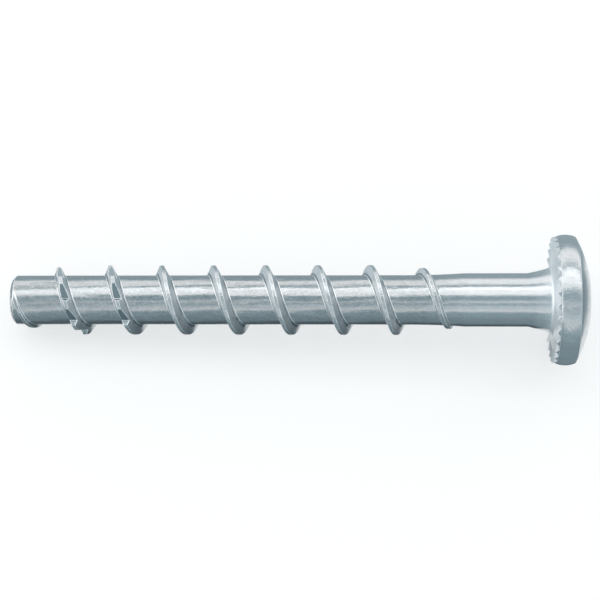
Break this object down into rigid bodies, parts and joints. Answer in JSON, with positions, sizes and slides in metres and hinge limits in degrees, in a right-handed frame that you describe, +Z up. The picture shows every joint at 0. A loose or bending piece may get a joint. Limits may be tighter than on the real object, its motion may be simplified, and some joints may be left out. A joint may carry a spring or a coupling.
{
  "type": "concrete screw",
  "caption": "Steel screw anchor that cuts its own thread into a drilled hole in concrete, with a round ribbed head and a six-lobed drive, lying on its side.",
  "frame": {"origin": "centre of the bounding box at its bottom, on the surface that the screw lies on", "axes": "+X from the tip towards the head, along the screw as seen from above; the screw's own axis rises 3.80 degrees towards the head, because the head is wider than the thread. +Z up"},
  "size_m": [0.0642, 0.0144, 0.0144],
  "materials": {
    "zinc_plated_steel": "bright zinc plated, fine drawn streaks along the shank"
  },
  "bodies": {
    "root": {"concrete_screw": "zinc_plated_steel"}
  },
  "joints": []
}
